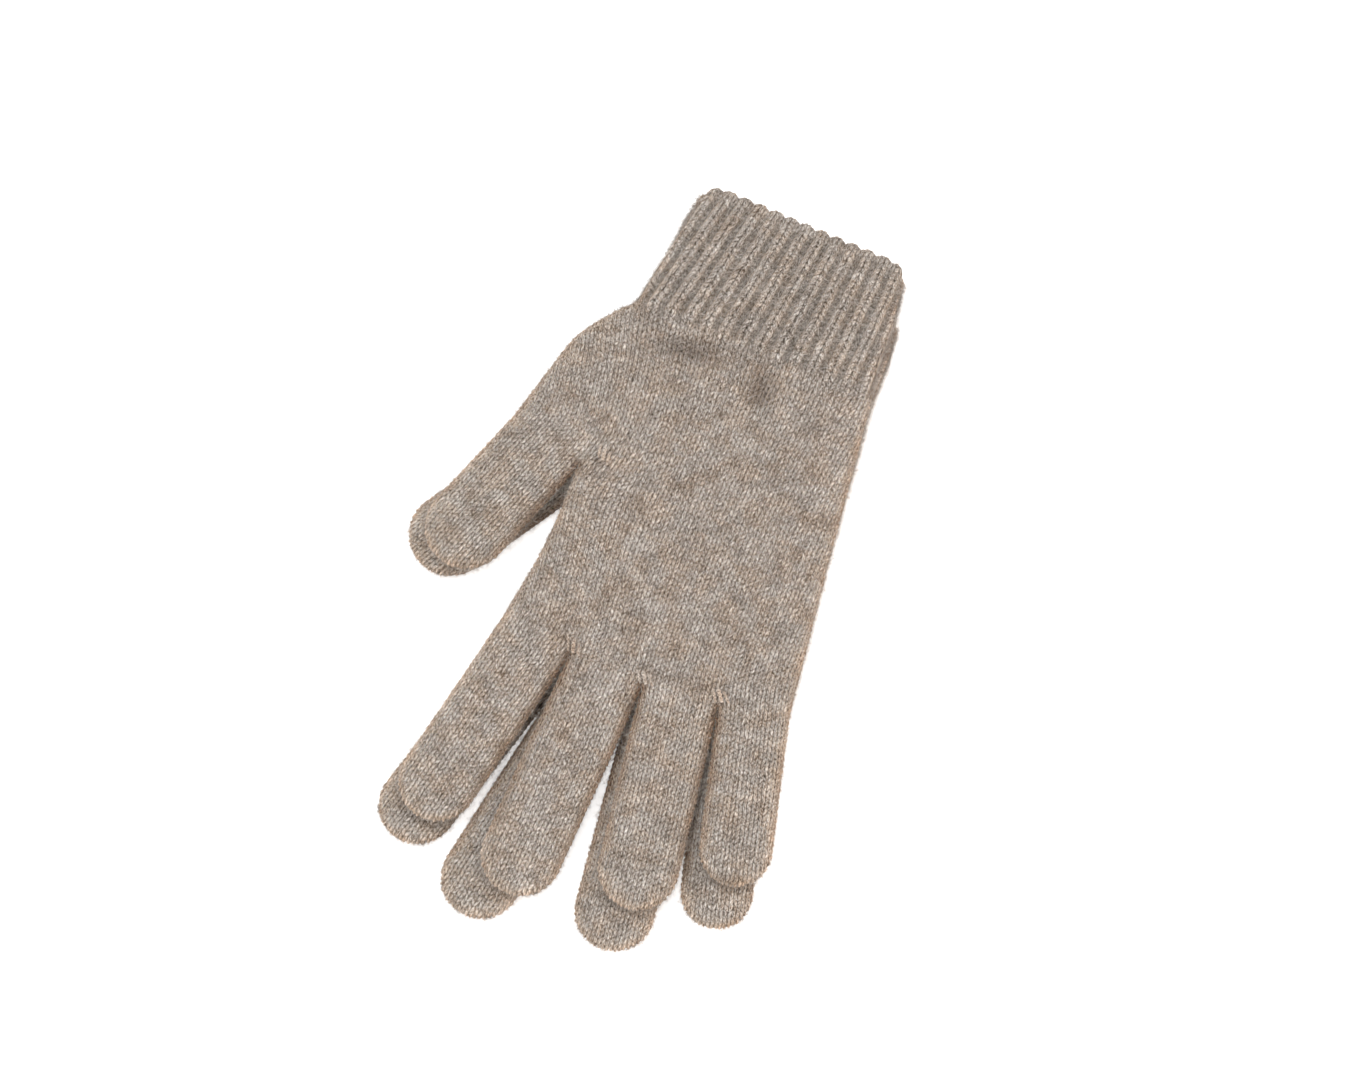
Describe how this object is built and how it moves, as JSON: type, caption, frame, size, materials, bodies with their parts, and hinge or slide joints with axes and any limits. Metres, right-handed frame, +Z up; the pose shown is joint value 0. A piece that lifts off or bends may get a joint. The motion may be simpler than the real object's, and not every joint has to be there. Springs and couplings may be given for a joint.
{
  "type": "knitted gloves",
  "caption": "Pair of flat-lying knitted wool gloves with ribbed cuffs, one stacked on the other, each hollow with a thumb and four fingers that bend at their roots.",
  "frame": {"origin": "on the flat surface that the lower glove lies on, under the middle of the pair's bounding box", "axes": "+Y along the upper glove from its fingertips to its cuff, +Z up out of the surface, +X away from the thumbs"},
  "size_m": [0.1517, 0.2573, 0.0194],
  "materials": {
    "heather_knit": "plain knit in a heathered grey-brown wool, matt and slightly fuzzy",
    "heather_rib": "rib knit in the same wool",
    "heather_edge": "rounded cast-off edge in the same wool",
    "join_yarn": "two-ply twisted wool yarn"
  },
  "bodies": {
    "lower_glove": {"lower_hand": "heather_knit", "lower_cuff": "heather_rib", "lower_cuff_edge": "heather_edge", "lower_thumb_crotch_stitches": "join_yarn", "lower_index_crotch_stitches": "join_yarn", "lower_middle_crotch_stitches": "join_yarn", "lower_ring_crotch_stitches": "join_yarn"},
    "upper_glove": {"upper_hand": "heather_knit", "upper_thumb_crotch_stitches": "join_yarn", "upper_index_crotch_stitches": "join_yarn", "upper_middle_crotch_stitches": "join_yarn", "upper_ring_crotch_stitches": "join_yarn"},
    "upper_cuff": {"upper_cuff": "heather_rib", "upper_cuff_edge": "heather_edge"},
    "upper_thumb": {"upper_thumb": "heather_knit"},
    "upper_index_finger": {"upper_index_finger": "heather_knit"},
    "upper_middle_finger": {"upper_middle_finger": "heather_knit"},
    "upper_ring_finger": {"upper_ring_finger": "heather_knit"},
    "upper_little_finger": {"upper_little_finger": "heather_knit"},
    "lower_thumb": {"lower_thumb": "heather_knit"},
    "lower_index_finger": {"lower_index_finger": "heather_knit"},
    "lower_middle_finger": {"lower_middle_finger": "heather_knit"},
    "lower_ring_finger": {"lower_ring_finger": "heather_knit"},
    "lower_little_finger": {"lower_little_finger": "heather_knit"}
  },
  "joints": [
    {"name": "upper_lift", "type": "slide", "parent": "lower_glove", "child": "upper_glove", "axis": [0, 0, 1], "range_m": [0, 0.06]},
    {"name": "upper_cuff_turn", "type": "hinge", "parent": "upper_glove", "child": "upper_cuff", "pos_m": [0.0106, 0.0833, 0.0188], "axis": [1, 0, 0], "range_deg": [0, 70]},
    {"name": "upper_thumb_flex", "type": "hinge", "parent": "upper_glove", "child": "upper_thumb", "pos_m": [-0.04268, 0.02724, 0.0188], "axis": [-0.9336, 0.3584, 0], "range_deg": [0, 80]},
    {"name": "upper_index_flex", "type": "hinge", "parent": "upper_glove", "child": "upper_index_finger", "pos_m": [-0.02191, -0.03547, 0.0188], "axis": [-0.9759, 0.2181, 0], "range_deg": [0, 90]},
    {"name": "upper_middle_flex", "type": "hinge", "parent": "upper_glove", "child": "upper_middle_finger", "pos_m": [0.00357, -0.039, 0.0188], "axis": [-0.9983, 0.0576, 0], "range_deg": [0, 90]},
    {"name": "upper_ring_flex", "type": "hinge", "parent": "upper_glove", "child": "upper_ring_finger", "pos_m": [0.02954, -0.03807, 0.0188], "axis": [-0.9917, -0.1288, 0], "range_deg": [0, 90]},
    {"name": "upper_little_flex", "type": "hinge", "parent": "upper_glove", "child": "upper_little_finger", "pos_m": [0.0538, -0.03367, 0.0188], "axis": [-0.9724, -0.2334, 0], "range_deg": [0, 90]},
    {"name": "lower_thumb_swing", "type": "hinge", "parent": "lower_glove", "child": "lower_thumb", "pos_m": [-0.04049, 0.02058, 0.0045], "axis": [0, 0, 1], "range_deg": [-8, 10]},
    {"name": "lower_index_swing", "type": "hinge", "parent": "lower_glove", "child": "lower_index_finger", "pos_m": [-0.02268, -0.04526, 0.0045], "axis": [0, 0, 1], "range_deg": [-10, 4]},
    {"name": "lower_middle_swing", "type": "hinge", "parent": "lower_glove", "child": "lower_middle_finger", "pos_m": [0.00235, -0.05139, 0.0045], "axis": [0, 0, 1], "range_deg": [-4, 10]},
    {"name": "lower_ring_swing", "type": "hinge", "parent": "lower_glove", "child": "lower_ring_finger", "pos_m": [0.02812, -0.05255, 0.0045], "axis": [0, 0, 1], "range_deg": [-10, 6]},
    {"name": "lower_little_swing", "type": "hinge", "parent": "lower_glove", "child": "lower_little_finger", "pos_m": [0.05239, -0.04828, 0.0045], "axis": [0, 0, 1], "range_deg": [-6, 10]}
  ]
}
